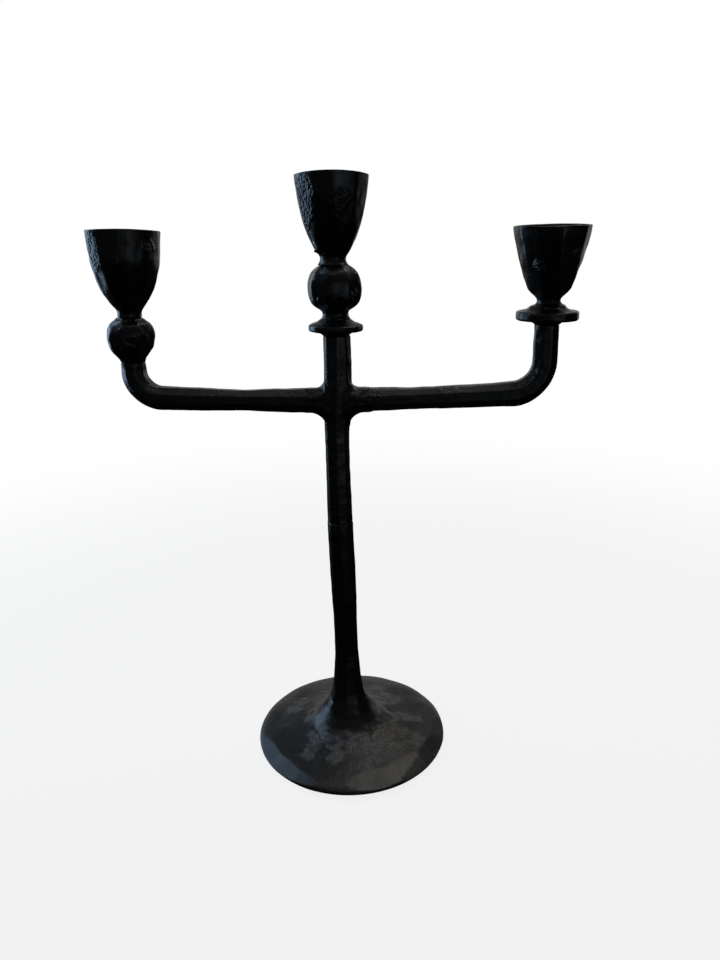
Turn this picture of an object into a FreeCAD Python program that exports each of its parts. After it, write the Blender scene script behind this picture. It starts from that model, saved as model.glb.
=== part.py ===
# Three-light table candelabra in black-painted iron: a cast foot, a two-piece stem of eight-sided bar, two
# bent arms welded to it, and three candle cups that sit on turned knops and drip discs.
# The foot stands on z = 0, the stem rises along Z, the arms run along X. Sizes are in millimetres.
import FreeCAD
import Part

import math
import os

# ---- foot ----
foot_dia = 127.0
foot_offset_x = 2.2        # the disc was cast a little off the stem's axis
foot_under_z = 0.8         # lowest iron, above the table
boss_top_z = 23.0          # where the stem stands on the foot
boss_radius = 16.5
felt_thick = 1.5
felt_dia = 112.0
bolt_seat_z = 11.0         # roof of the pocket that the foot bolt's washers bear on
bolt_pocket_radius = 10.0

# ---- stem ----
seam_z = 159.0             # joint between the lower and the upper stem
crossing_z = 236.2         # centre line of the arms where they meet the stem
stem_top_z = 274.2
stem_bow = -1.1            # the stem leans this far to the side half way up
bow_from_z = 60.0
corner_ease = 1.8          # rounding of the bars' eight corners

# ---- arms ----
arm_slope = 3.1            # degrees that an arm has risen by its elbow
tenon_radius = 4.5
tenon_gap = 1.2            # between a tenon's end and the stem's centre line
left_arm_size = dict(side=-1, reach=120.0, top_z=260.5, bend=19.0, root=14.6, waist=13.0, elbow=14.9, tip=15.2)
right_arm_size = dict(side=1, reach=121.2, top_z=278.2, bend=15.5, root=14.4, waist=13.2, elbow=14.6, tip=13.8)
weld_reach = 7.5           # leg of the weld's hollow fillet
weld_half_width = 5.4
weld_lip = 0.5             # thickness of the weld's thin ends

# ---- candle cups ----
candle_radius = 11.4       # socket for a 22 mm dinner candle
socket_deep = 13.0
socket_floor = 12.5        # height of the socket's floor above the cup's seat
cup_wall = 2.5
neck_radius = 7.3
left_cup_size = dict(x=-120.0, seat_z=286.8, high=48.2, rim=20.9, rim_lean=1.2, flats=10, first=9.0)
center_cup_size = dict(x=0.0, seat_z=313.4, high=47.4, rim=20.8, rim_lean=1.6, flats=10, first=22.0)
right_cup_size = dict(x=121.2, seat_z=288.6, high=43.1, rim=21.7, rim_lean=-3.2, flats=10, first=0.0)

# ---- fasteners ----
m6_radius = 3.0
m8_radius = 4.0
m6_pitch = 1.0
m8_pitch = 1.25
tapped_play = 0.06         # radial room between a screw and its tapped hole
clear_play = 0.3           # radial room in a hole that a screw only passes through
screw_head_radius = 5.2
screw_head_high = 3.4
screw_washer_radius = 5.9
screw_washer_thick = 1.2
screw_pocket_radius = 6.3
screw_pocket_deep = 5.0
stud_half_length = 19.0


def vec(x, y, z):
    return FreeCAD.Vector(x, y, z)


# ---------------------------------------------------------------- general shapes

def outline(start, *steps):
    """Closed wire of a half outline of (radius, height) points.
    A step is ("line", end), ("arc", via, end) or ("curve", point, point, ...)."""
    def place(point):
        return vec(point[0], 0, point[1])

    edges = []
    here = place(start)
    for kind, *points in steps:
        there = place(points[-1])
        if kind == "line":
            edges.append(Part.makeLine(here, there))
        elif kind == "arc":
            edges.append(Part.Arc(here, place(points[0]), there).toShape())
        else:
            curve = Part.BSplineCurve()
            curve.interpolate([here] + [place(point) for point in points])
            edges.append(curve.toShape())
        here = there
    edges.append(Part.makeLine(here, place(start)))
    return Part.Wire(edges)


def turned(wire, x=0.0, z=0.0):
    """Solid turned from a half outline round the vertical line at x, lifted by z."""
    solid = Part.Face(wire).revolve(vec(0, 0, 0), vec(0, 0, 1), 360)
    solid.translate(vec(x, 0, z))
    return solid


def rod(radius, low_z, high_z, x=0.0):
    return Part.makeCylinder(radius, high_z - low_z, vec(x, 0, low_z))


def planed(shape, x, count, first, reach, middle_z, slope, high):
    """Shape with a ring of hammered flats. reach is from the axis at x to a flat at middle_z, and slope is
    how far the flat leans outwards at its top, in degrees."""
    thick, wide = 20.0, 60.0
    blocks = []
    for i in range(count):
        block = Part.makeBox(thick, wide, high, vec(reach, -wide / 2, -high / 2))
        block.rotate(vec(reach, 0, 0), vec(0, 1, 0), slope)
        block.rotate(vec(0, 0, 0), vec(0, 0, 1), first + i * 360.0 / count)
        block.translate(vec(x, 0, middle_z))
        blocks.append(block)
    return shape.cut(blocks)


def octagon(centre, along, flats):
    """Eight-sided wire with eased corners, square to along, with flats facing front, back, up and down."""
    side = vec(0, 1, 0)
    out = along.cross(side)
    half_turn = math.pi / 8
    radius = flats / 2 / math.cos(half_turn)
    set_back = corner_ease * math.tan(half_turn)
    dip = corner_ease * (1 / math.cos(half_turn) - 1)
    corners = []
    for k in range(8):
        angle = half_turn * (2 * k + 1)
        corners.append(centre + out * (radius * math.cos(angle)) + side * (radius * math.sin(angle)))
    edges = []
    for k in range(8):
        before, here, after = corners[k - 1], corners[k], corners[(k + 1) % 8]
        flat = (after - here).normalize()
        back = (before - here).normalize()
        crown = here + (centre - here).normalize() * dip
        edges.append(Part.Arc(here + back * set_back, crown, here + flat * set_back).toShape())
        edges.append(Part.makeLine(here + flat * set_back, after - flat * set_back))
    return Part.Wire(edges)


def forged_bar(stations):
    """Eight-sided bar through stations of (centre, direction, width over the flats)."""
    return Part.makeLoft([octagon(*station) for station in stations], True, False)


def thread(radius, pitch, low_z, high_z):
    """Outline steps up a threaded shank, as a row of grooves."""
    depth = 0.6 * pitch
    steps = []
    for turn in range(int((high_z - low_z) / pitch)):
        z = low_z + turn * pitch
        steps.append(("line", (radius - depth, z + pitch / 2)))
        steps.append(("line", (radius, z + pitch)))
    return steps


def hexagon(across, low_z, high_z, x=0.0):
    corner = across / math.sqrt(3)
    points = [vec(x + corner * math.cos(k * math.pi / 3), corner * math.sin(k * math.pi / 3), low_z)
              for k in range(7)]
    return Part.Face(Part.makePolygon(points)).extrude(vec(0, 0, high_z - low_z))


# ---------------------------------------------------------------- foot

def foot():
    """Cast disc with a rounded edge, domed up to the boss that the stem stands on."""
    radius = foot_dia / 2
    disc = turned(outline(
        (0, foot_under_z),
        ("line", (radius - 2.6, foot_under_z)),
        ("arc", (radius, 3.7), (radius - 3.4, 6.9)),
        ("curve", (radius - 15.5, 9.0), (33.0, 11.4), (22.0, 15.6), (14.0, 20.5)),
        ("line", (0, 20.5)),
    ), foot_offset_x)
    boss = turned(outline(
        (0, 10.0),
        ("line", (29.0, 10.0)),
        ("curve", (27.0, 13.2), (20.6, 17.8), (boss_radius, boss_top_z)),
        ("line", (0, boss_top_z)),
    ))
    pocket = rod(bolt_pocket_radius, 0, bolt_seat_z)
    bolt_hole = rod(m8_radius + clear_play, 0, boss_top_z + 1)
    return disc.fuse(boss).cut([felt_recess(), pocket, bolt_hole])


def felt_recess():
    """Shallow recess under the foot that the felt is glued into."""
    return rod(felt_dia / 2 + 0.3, -1, felt_thick, foot_offset_x)


def felt_pad():
    return rod(felt_dia / 2, 0, felt_thick, foot_offset_x)


def foot_bolt():
    """M8 hexagon bolt, up through the foot into the stem."""
    spring_washer_z = bolt_seat_z - 1.6 - 2.0
    head_low_z = spring_washer_z - 5.3
    shank_top_z = boss_top_z + 16.0
    head = hexagon(13.0, head_low_z, spring_washer_z)
    shank = turned(outline(
        (0, spring_washer_z - 1),
        ("line", (m8_radius, spring_washer_z - 1)),
        ("line", (m8_radius, boss_top_z)),
        *thread(m8_radius, m8_pitch, boss_top_z, shank_top_z - 1),
        ("line", (m8_radius - 1, shank_top_z)),
        ("line", (0, shank_top_z)),
    ))
    return head.fuse(shank).removeSplitter()


def foot_washer():
    return rod(8.0, bolt_seat_z - 1.6, bolt_seat_z).cut(rod(m8_radius + clear_play, 0, bolt_seat_z + 1))


def foot_spring_washer():
    """Split ring between the plain washer and the bolt's head."""
    low_z = bolt_seat_z - 1.6 - 2.0
    ring = rod(7.4, low_z, low_z + 2.0).cut(rod(m8_radius + clear_play, low_z - 1, low_z + 3))
    slit = Part.makeBox(10, 1.2, 6, vec(0, -0.6, -3))
    slit.rotate(vec(5, 0, 0), vec(1, 0, 0), 25)
    slit.translate(vec(0, 0, low_z + 1.0))
    return ring.cut(slit)


# ---------------------------------------------------------------- stem

def bow_x(z):
    """Sideways lean of the stem's centre line at height z."""
    along = (z - bow_from_z) / (crossing_z - bow_from_z)
    if along <= 0 or along >= 1:
        return 0.0
    return stem_bow * math.sin(math.pi * along)


def stem_bar(heights_and_flats):
    up = vec(0, 0, 1)
    return forged_bar([(vec(bow_x(z), 0, z), up, flats) for z, flats in heights_and_flats])


def lower_stem():
    """Eight-sided bar, flared where it stands on the foot."""
    bar = stem_bar([
        (boss_top_z, 2 * boss_radius - 0.8), (28.0, 26.0), (35.0, 21.0), (44.0, 18.4), (58.0, 16.3),
        (76.0, 15.0), (105.0, 15.1), (132.0, 15.5), (seam_z, 14.9),
    ])
    bolt_hole = rod(m8_radius + tapped_play, boss_top_z - 1, boss_top_z + 20)
    stud_hole = rod(m8_radius + tapped_play, seam_z - stud_half_length - 2, seam_z + 1, bow_x(seam_z))
    return bar.cut([bolt_hole, stud_hole])


def stem_stud():
    """M8 stud hidden in the stem's joint."""
    low_z, high_z = seam_z - stud_half_length, seam_z + stud_half_length
    wire = outline(
        (0, low_z),
        ("line", (m8_radius - 1, low_z)),
        ("line", (m8_radius, low_z + 1)),
        *thread(m8_radius, m8_pitch, low_z + 1, high_z - 1),
        ("line", (m8_radius - 1, high_z)),
        ("line", (0, high_z)),
    )
    return turned(wire, bow_x(seam_z))


def plain_upper_stem():
    """The upper stem before it is drilled."""
    return stem_bar([
        (seam_z, 14.9), (180.0, 14.6), (204.0, 14.1), (222.0, 14.9), (crossing_z, 15.6), (252.0, 15.5),
        (264.0, 15.1), (stem_top_z, 14.9),
    ])


def upper_stem():
    """Bar from the joint, past the arms, up to the middle light."""
    stud_hole = rod(m8_radius + tapped_play, seam_z - 1, seam_z + stud_half_length + 2, bow_x(seam_z))
    screw_hole = rod(m6_radius + tapped_play, stem_top_z - 24, stem_top_z + 1)
    tenon_hole = Part.makeCylinder(tenon_radius + 0.05, 30, vec(-15, 0, crossing_z), vec(1, 0, 0))
    return plain_upper_stem().cut([stud_hole, screw_hole, tenon_hole])


# ---------------------------------------------------------------- arms

def arm_stations(size):
    """Centre line of an arm: a run that rises gently, a round elbow, and an upright end."""
    side, bend = size["side"], size["bend"]
    slope = math.radians(arm_slope)
    root_x = 3.0
    elbow_x = size["reach"] - bend * (1 - math.sin(slope))
    rise = math.tan(slope) * (elbow_x - root_x) / 2
    stations = []
    run_steps = 6
    for i in range(run_steps + 1):
        t = i / run_steps
        end = size["root"] if t < 0.5 else size["elbow"]
        flats = size["waist"] + (end - size["waist"]) * (2 * t - 1) ** 2
        along = vec(side, 0, t * math.tan(slope)).normalize()
        centre = vec(side * (root_x + t * (elbow_x - root_x)), 0, crossing_z + rise * t * t)
        stations.append((centre, along, flats))
    bend_steps = 5
    top_of_bend_z = crossing_z + rise + bend * math.cos(slope)
    for i in range(1, bend_steps + 1):
        angle = slope + (math.pi / 2 - slope) * i / bend_steps
        along = vec(side * math.cos(angle), 0, math.sin(angle))
        centre = vec(side * (size["reach"] - bend * (1 - math.sin(angle))), 0,
                     top_of_bend_z - bend * math.cos(angle))
        flats = size["elbow"] + (size["tip"] - size["elbow"]) * i / bend_steps
        stations.append((centre, along, flats))
    upright_steps = max(1, round((size["top_z"] - top_of_bend_z) / 5))
    for i in range(1, upright_steps + 1):
        z = top_of_bend_z + (size["top_z"] - top_of_bend_z) * i / upright_steps
        stations.append((vec(side * size["reach"], 0, z), vec(0, 0, 1), size["tip"]))
    return stations


def arm(size):
    """Bent bar, coped to the stem's flats, with a round tenon into the stem and a tapped upright end."""
    bar = forged_bar(arm_stations(size)).cut(plain_upper_stem())
    bar = max(bar.Solids, key=lambda solid: solid.Volume)
    tenon = Part.makeCylinder(tenon_radius, 12 - tenon_gap, vec(size["side"] * tenon_gap, 0, crossing_z),
                              vec(size["side"], 0, 0))
    screw_hole = rod(m6_radius + tapped_play, size["top_z"] - 17, size["top_z"] + 1,
                     size["side"] * size["reach"])
    return bar.fuse(tenon).cut(screw_hole).removeSplitter()


def arm_weld(size):
    """Hollow fillets of weld metal above and below the root of an arm."""
    bar = forged_bar(arm_stations(size))
    stem = plain_upper_stem()
    stem_side = 7.0
    webs = []
    for up in (1, -1):
        bar_side = crossing_z + up * (size["root"] / 2 - 0.4)
        reach = weld_reach + (1.5 if up < 0 else 0)
        corner = (stem_side + weld_lip, bar_side + up * weld_lip)
        diagonal = reach * (1 - math.sqrt(0.5))
        points = [(stem_side - 1, bar_side - up * 2), (stem_side - 1, bar_side + up * reach)]
        stem_end = (corner[0], bar_side + up * reach)
        arm_end = (stem_side + reach, corner[1])
        hollow = (corner[0] + diagonal * 0.9, corner[1] + up * diagonal * 0.9)
        wire = outline(points[0], ("line", points[1]), ("line", stem_end), ("arc", hollow, arm_end),
                       ("line", (stem_side + reach, bar_side - up * 2)))
        web = Part.Face(wire).extrude(vec(0, 2 * weld_half_width, 0))
        web.translate(vec(0, -weld_half_width, 0))
        if size["side"] < 0:
            web = web.mirror(vec(0, 0, 0), vec(1, 0, 0))
        webs.append(web.cut([stem, bar]))
    solids = [max(web.Solids, key=lambda solid: solid.Volume) for web in webs]
    return Part.makeCompound(solids)


# ---------------------------------------------------------------- discs and knops

def drip_disc(x, seat_z, radius, edge, seat_radius):
    """Round disc with a flared underside and a low cone on top."""
    flare = 2.6
    top = flare + edge
    wire = outline(
        (m6_radius + clear_play, 0),
        ("line", (seat_radius, 0)),
        ("curve", (seat_radius + 0.9, 1.0), (seat_radius + 3.4, 1.9), (radius - 1.2, flare)),
        ("line", (radius, flare + 1.0)),
        ("line", (radius, top - 1.0)),
        ("line", (radius - 1.2, top)),
        ("curve", (seat_radius + 2.6, top + 0.8), (seat_radius + 0.7, top + 1.4), (seat_radius - 0.4, top + 2.6)),
        ("line", (m6_radius + clear_play, top + 2.6)),
    )
    return planed(turned(wire, x, seat_z), x, 11, 8.0, radius - 0.35, seat_z + flare + edge / 2, 0, edge + 4)


def center_knop():
    """Ball with a short neck under it."""
    wire = outline(
        (m6_radius + clear_play, 0),
        ("line", (8.1, 0)),
        ("curve", (7.4, 1.6), (7.5, 4.6)),
        ("arc", (15.35, 16.7), (neck_radius + 0.6, 29.9)),
        ("line", (m6_radius + clear_play, 29.9)),
    )
    ball = turned(wire, 0, 283.5)
    return planed(ball, 0, 8, 12.0, 14.6, 300.5, 0, 20)


def left_knop():
    """Pear-shaped ball that sits straight on the left arm."""
    wire = outline(
        (m6_radius + clear_play, 0),
        ("line", (7.7, 0)),
        ("curve", (9.3, 3.2), (12.6, 7.4), (14.3, 14.2), (13.7, 20.0), (11.3, 23.3), (neck_radius + 0.5, 26.3)),
        ("line", (m6_radius + clear_play, 26.3)),
    )
    x = -left_arm_size["reach"]
    ball = turned(wire, x, left_arm_size["top_z"])
    return planed(ball, x, 7, 30.0, 13.6, left_arm_size["top_z"] + 14.5, 3, 18)


def center_disc():
    return drip_disc(0, stem_top_z, 15.6, 4.1, 8.4)


def right_disc():
    return drip_disc(right_arm_size["reach"], right_arm_size["top_z"], 17.7, 5.2, 8.0)


# ---------------------------------------------------------------- candle cups

def cup(size):
    """Tulip-shaped cup: a round neck, a hammered bowl, and a socket for the candle under a wider mouth."""
    high, rim = size["high"], size["rim"]
    wire = outline(
        (0, 0),
        ("line", (neck_radius, 0)),
        ("curve", (neck_radius - 0.1, 2.4), (0.4 * rim, 4.9), (0.61 * rim, 11.4), (0.8 * rim, 20.5),
         (0.93 * rim, 31.8), (rim, high + 2)),
        ("line", (0, high + 2)),
    )
    bowl = turned(wire, size["x"], size["seat_z"])
    upper_z = size["seat_z"] + 38
    lower_z = size["seat_z"] + 19
    bowl = planed(bowl, size["x"], size["flats"], size["first"], 0.955 * rim, upper_z, 6, 32)
    bowl = planed(bowl, size["x"], size["flats"], size["first"] + 18, 0.745 * rim, lower_z, 24, 20)
    ledge_z = socket_floor + socket_deep
    mouth = turned(outline(
        (0, ledge_z),
        ("line", (candle_radius, ledge_z)),
        ("line", (candle_radius + 1.2, ledge_z + 0.8)),
        ("curve", (0.92 * rim - cup_wall - 1.2, ledge_z + 4.4), (rim - cup_wall - 0.7, high - 8),
         (rim - cup_wall, high + 3)),
        ("line", (0, high + 3)),
    ), size["x"], size["seat_z"])
    socket_z = size["seat_z"] + socket_floor
    socket = rod(candle_radius, socket_z, socket_z + socket_deep + 1, size["x"])
    pocket = rod(screw_pocket_radius, socket_z - screw_pocket_deep, socket_z + 1, size["x"])
    hole = rod(m6_radius + clear_play, size["seat_z"] - 1, socket_z, size["x"])
    above = Part.makeBox(70, 70, 12, vec(-35, -35, 0))
    above.rotate(vec(0, 0, 0), vec(1, 0, 0), -size["rim_lean"])
    above.translate(vec(size["x"], 0, size["seat_z"] + high))
    return bowl.cut([mouth, socket, pocket, hole, above])


def cup_screw(size, end_z):
    """M6 pan-head screw with a hexagon socket, from the bottom of a cup down to end_z."""
    head_z = size["seat_z"] + socket_floor - screw_pocket_deep + screw_washer_thick
    head_top_z = head_z + screw_head_high
    wire = outline(
        (0, end_z),
        ("line", (m6_radius - 0.8, end_z)),
        *thread(m6_radius, m6_pitch, end_z + 0.8, end_z + 17),
        ("line", (m6_radius, head_z)),
        ("line", (screw_head_radius, head_z)),
        ("line", (screw_head_radius, head_z + 1.4)),
        ("arc", (screw_head_radius - 0.9, head_z + 2.8), (screw_head_radius - 2.2, head_top_z)),
        ("line", (0, head_top_z)),
    )
    return turned(wire, size["x"]).cut(hexagon(4.0, head_top_z - 2.2, head_top_z + 1, size["x"]))


def cup_washer(size):
    low_z = size["seat_z"] + socket_floor - screw_pocket_deep
    ring = rod(screw_washer_radius, low_z, low_z + screw_washer_thick, size["x"])
    return ring.cut(rod(m6_radius + 0.2, low_z - 1, low_z + 3, size["x"]))


# ---------------------------------------------------------------- export

nodes = {
    "foot": foot,
    "felt_pad": felt_pad,
    "foot_bolt": foot_bolt,
    "foot_washer": foot_washer,
    "foot_spring_washer": foot_spring_washer,
    "lower_stem": lower_stem,
    "stem_stud": stem_stud,
    "upper_stem": upper_stem,
    "left_arm": lambda: arm(left_arm_size),
    "right_arm": lambda: arm(right_arm_size),
    "left_arm_weld": lambda: arm_weld(left_arm_size),
    "right_arm_weld": lambda: arm_weld(right_arm_size),
    "center_disc": center_disc,
    "right_disc": right_disc,
    "center_knop": center_knop,
    "left_knop": left_knop,
}
screw_ends = {"left": left_arm_size["top_z"] - 15, "center": stem_top_z - 20, "right": right_arm_size["top_z"] - 15}
for place, cup_size in (("left", left_cup_size), ("center", center_cup_size), ("right", right_cup_size)):
    nodes[place + "_cup"] = lambda size=cup_size: cup(size)
    nodes[place + "_cup_screw"] = lambda size=cup_size, end_z=screw_ends[place]: cup_screw(size, end_z)
    nodes[place + "_cup_washer"] = lambda size=cup_size: cup_washer(size)

os.makedirs("parts", exist_ok=True)
for name, make in nodes.items():
    shape = make()
    box = shape.BoundBox
    print(f"{name:20s} valid {shape.isValid()} solids {len(shape.Solids)} volume {shape.Volume / 1000:8.2f} cm3 "
          f"x {box.XMin:7.1f} {box.XMax:7.1f} y {box.YMin:6.1f} {box.YMax:6.1f} z {box.ZMin:6.1f} {box.ZMax:6.1f}")
    shape.exportStep(os.path.join("parts", name + ".step"))
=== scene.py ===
import math

import bmesh
import bpy
import numpy as np
from mathutils import Matrix, Vector


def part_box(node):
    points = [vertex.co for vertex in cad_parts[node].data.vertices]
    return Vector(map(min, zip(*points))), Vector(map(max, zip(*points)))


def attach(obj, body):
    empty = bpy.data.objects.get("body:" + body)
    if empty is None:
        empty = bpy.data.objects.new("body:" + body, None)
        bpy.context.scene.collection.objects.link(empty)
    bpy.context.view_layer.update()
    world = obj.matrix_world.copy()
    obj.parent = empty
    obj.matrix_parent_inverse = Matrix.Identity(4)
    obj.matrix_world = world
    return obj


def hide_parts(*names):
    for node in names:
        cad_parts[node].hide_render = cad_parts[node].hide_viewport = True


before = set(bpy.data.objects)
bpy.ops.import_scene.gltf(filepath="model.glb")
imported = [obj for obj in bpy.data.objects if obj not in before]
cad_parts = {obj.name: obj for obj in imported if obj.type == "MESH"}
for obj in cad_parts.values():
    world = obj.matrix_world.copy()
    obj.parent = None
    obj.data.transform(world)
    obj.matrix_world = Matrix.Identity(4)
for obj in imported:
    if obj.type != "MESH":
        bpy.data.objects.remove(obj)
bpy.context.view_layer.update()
scene = bpy.context.scene
mm = 0.001


def facing(degrees):
    # level direction at an angle from the front, positive to the right
    angle = math.radians(degrees)
    return Vector((math.sin(angle), -math.cos(angle), 0))


def middle(node):
    low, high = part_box(node)
    return (low + high) / 2


def seat(node):
    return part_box(node)[0].z


def spot(degrees, out, level):
    # a place at an angle from the front, mm out from the axis and mm up
    return facing(degrees) * out * mm + Vector((0, 0, level * mm))


leftX = middle("left_cup_screw").x
rightX = middle("right_cup_screw").x
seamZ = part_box("lower_stem")[1].z
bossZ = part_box("lower_stem")[0].z
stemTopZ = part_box("upper_stem")[1].z
crossingZ = 0.2362
flatShare = 0.925  # where the flats of a bar are, as a share of its round blank's radius
boltHole, studHole, screwHole, clearHole = 4.3, 4.06, 3.06, 3.3  # radii in mm


def smoothStretch(points, step):
    # points in mm, rounded off between the first and the last, step apart
    knots = [Vector(p) * mm for p in points]
    if len(knots) > 2:
        knots = [2 * knots[0] - knots[1]] + knots + [2 * knots[-1] - knots[-2]]
    else:
        knots = [2 * knots[0] - knots[1]] + knots + [2 * knots[1] - knots[0]]
    path = [knots[1]]
    for before, start, end, after in zip(knots, knots[1:], knots[2:], knots[3:]):
        count = max(1, round((end - start).length / step))
        for i in range(1, count + 1):
            t = i / count
            path.append(0.5 * (2 * start + (end - before) * t
                               + (2 * before - 5 * start + 4 * end - after) * t * t
                               + (3 * start - before - 3 * end + after) * t ** 3))
    return path


def turnBlank(stretches, sides):
    # Turned on the lathe round Z: stretches are (step in mm, points of radius and height),
    # smooth within a stretch, with a corner between two of them.
    path = []
    for step, points in stretches:
        path += smoothStretch(points, step * mm)[1 if path else 0:]
    closed = (path[0] - path[-1]).length < 1e-7
    if closed:
        path.pop()
    bm = bmesh.new()
    chain = [bm.verts.new((p.x, 0, p.y)) for p in path]
    edges = [bm.edges.new(pair) for pair in zip(chain, chain[1:])]
    if closed:
        edges.append(bm.edges.new((chain[-1], chain[0])))
    bmesh.ops.spin(bm, geom=chain + edges, cent=(0, 0, 0), axis=(0, 0, 1), angle=math.tau,
                   steps=sides, use_merge=True)
    bmesh.ops.remove_doubles(bm, verts=bm.verts, dist=1e-6)
    bmesh.ops.recalc_face_normals(bm, faces=bm.faces)
    mesh = bpy.data.meshes.new("blank")
    bm.to_mesh(mesh)
    bm.free()
    return mesh


def readPoints(mesh, normals=False):
    flat = np.empty(len(mesh.vertices) * 3, np.float32)
    if normals:
        mesh.vertex_normals.foreach_get("vector", flat)
    else:
        mesh.vertices.foreach_get("co", flat)
    return flat.reshape(-1, 3).astype(float)


def movePoints(mesh, points):
    mesh.vertices.foreach_set("co", points.astype(np.float32).ravel())
    mesh.update()


def store(mesh, name, values):
    # an attribute of the points, for the paint to read
    layer = mesh.attributes.new(name, "FLOAT", "POINT")
    layer.data.foreach_set("value", values.astype(np.float32))


def outOfAxis(points):
    return np.hypot(points[:, 0], points[:, 1])


def fade(values, low, high):
    # 0 below low, 1 above high, smooth between
    t = np.clip((values - low) / (high - low), 0, 1)
    return t * t * (3 - 2 * t)


def lumps(points, size, seed=0):
    # smooth noise, about -1 to 1, with bumps of a size in mm
    place = points / (size * mm)
    cell = np.floor(place)
    part = place - cell
    cell = cell.astype(np.int64)
    blend = part ** 3 * (part * (part * 6 - 15) + 10)
    total = np.zeros(len(points))
    for corner in np.ndindex(2, 2, 2):
        at = cell + corner
        code = (at[:, 0] * 73856093) ^ (at[:, 1] * 19349663) ^ (at[:, 2] * 83492791)
        code ^= seed * 40503 + 977
        code = (code ^ (code >> 15)) * 2246822519 & 0xFFFFFFFF
        code = (code ^ (code >> 13)) * 3266489917 & 0xFFFFFFFF
        code ^= code >> 16
        weight = np.ones(len(points))
        slope = np.zeros(len(points))
        for axis in range(3):
            weight *= blend[:, axis] if corner[axis] else 1 - blend[:, axis]
            slope += (((code >> 10 * axis) & 1023) / 511.5 - 1) * (part[:, axis] - corner[axis])
        total += weight * slope
    return total * 1.5


def hammerSides(points, tool):
    # Flats down the length of a round blank. Each is a row of shallow dishes, so that it looks struck.
    x, y, z = points.T
    radius = np.hypot(x, y)
    angle = np.arctan2(x, -y)
    draw = np.random.default_rng(tool["seed"])
    soft = tool["soft"]
    widest = 1.3  # radians from the middle of a flat, past which it can't reach
    cut = np.ones(len(points))
    for side in range(tool["count"]):
        centre = tool["first"] + side * 360 / tool["count"] + draw.uniform(-1, 1) * tool["jitter"]
        centre = math.radians(centre)
        centre = centre + math.radians(tool["wobble"]) * np.sin(z / (tool["wave"] * mm) + draw.uniform(0, 6))
        turn = (angle - centre + math.pi) % math.tau - math.pi
        pitch = tool["pitch"] * mm * draw.uniform(0.8, 1.25)
        blow = z / pitch + draw.uniform(0, 1)
        weights = draw.uniform(0.25, 1, 64)[np.round(blow).astype(int) % 64]
        dish = weights * (1 - (2 * (blow - np.round(blow))) ** 2)
        bite = tool["bite"] * (1 + draw.uniform(-1, 1) * tool["uneven"]) - tool["dish"] * dish
        flat = np.where(np.abs(turn) < widest, bite / np.cos(np.clip(turn, -widest, widest)), 9)
        near = np.clip(soft - np.abs(cut - flat), 0, None) / soft
        cut = np.minimum(cut, flat) - near * near * soft / 4
    core = tool.get("core", 0)
    low, high, run = tool.get("span", (-1, 9, 0.004))
    share = fade(radius, core * mm, (core + 1.6) * mm)
    share = share * fade(z, low, low + run) * (1 - fade(z, high - run, high))
    for place, reach, left in tool.get("spare", []):
        share *= 1 - (1 - left) * (1 - fade(np.abs(z - place), 0.5 * reach, reach))
    scale = 1 + (cut - 1) * share
    return np.column_stack((x * scale, y * scale, z))


def strike(points, place, away, bow=0.0, soft=0.35):
    # One hammer blow: what stands beyond the hammer's face at place is driven back, along -away.
    # bow is how many mm the face curves up, 10 mm out from its middle.
    away = np.array(Vector(away).normalized())
    offset = points - np.array(place)
    out = offset @ away
    level = np.sum(offset ** 2, axis=1) - out ** 2
    over = out - bow * 10 * level
    soft = soft * mm
    back = 0.5 * (over + np.sqrt(over ** 2 + soft ** 2)) * fade(over, -4 * soft, -2 * soft)
    back = np.where(over < -4 * soft, 0, back)
    return points - back[:, None] * away


def castSkin(mesh, points, look, share=1.0):
    # Waves, dents, and pebbly grain in patches, along the surface's normal.
    # The mesh also keeps how grainy each point is.
    movePoints(mesh, points)
    normals = readPoints(mesh, normals=True)
    place = points + np.array(look["shift"])
    patch = lumps(place, look["patchSize"], 1) + 0.5 * lumps(place, look["patchSize"] * 0.4, 2)
    patch = patch + look["patchBias"]
    for centre, size in look.get("patches", []):
        away = np.linalg.norm(points - np.array(centre), axis=1) / (size * mm)
        patch = np.maximum(patch, 1.2 - away + look.get("ragged", 0.3) * lumps(place, 4, 3))
    patch = fade(patch, 0.0, look.get("patchEdge", 0.5))
    height = look["wave"] * lumps(place, look["waveSize"], 4)
    height += look["dent"] * lumps(place, look["dentSize"], 5)
    height += look.get("flute", 0) * lumps(place * np.array((1, 1, 0.2)), 4.2, 9)
    pebbles = lumps(place, look["grainSize"], 6) + 0.6 * lumps(place, look["grainSize"] * 0.55, 7)
    height += look["grain"] * (0.12 + patch) * pebbles
    height -= look["pits"] * fade(lumps(place, 2.2, 8), 0.45, 0.9)
    store(mesh, "grain", patch * share * np.ones(len(points)))
    return points + normals * (height * share)[:, None] * mm


def wearOf(mesh, points):
    # 0 to 1, how far a point stands out from its neighbours, for paint rubbed thin on ridges
    count = len(points)
    normals = readPoints(mesh, normals=True)
    pairs = np.empty(len(mesh.edges) * 2, np.int32)
    mesh.edges.foreach_get("vertices", pairs)
    a, b = pairs.reshape(-1, 2).T
    number = np.maximum(np.bincount(a, minlength=count) + np.bincount(b, minlength=count), 1)
    gap = np.linalg.norm(points[a] - points[b], axis=1)
    length = np.bincount(a, gap, count) + np.bincount(b, gap, count)
    near = np.column_stack([np.bincount(a, points[b, axis], count) + np.bincount(b, points[a, axis], count)
                            for axis in range(3)])
    rise = np.sum((points - near / number[:, None]) * normals, axis=1) / np.maximum(length / number, 1e-9)
    wear = np.clip(rise * 5, 0, 1)
    for _ in range(2):
        wear = 0.5 * wear + 0.5 * (np.bincount(a, wear[b], count) + np.bincount(b, wear[a], count)) / number
    return wear


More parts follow.
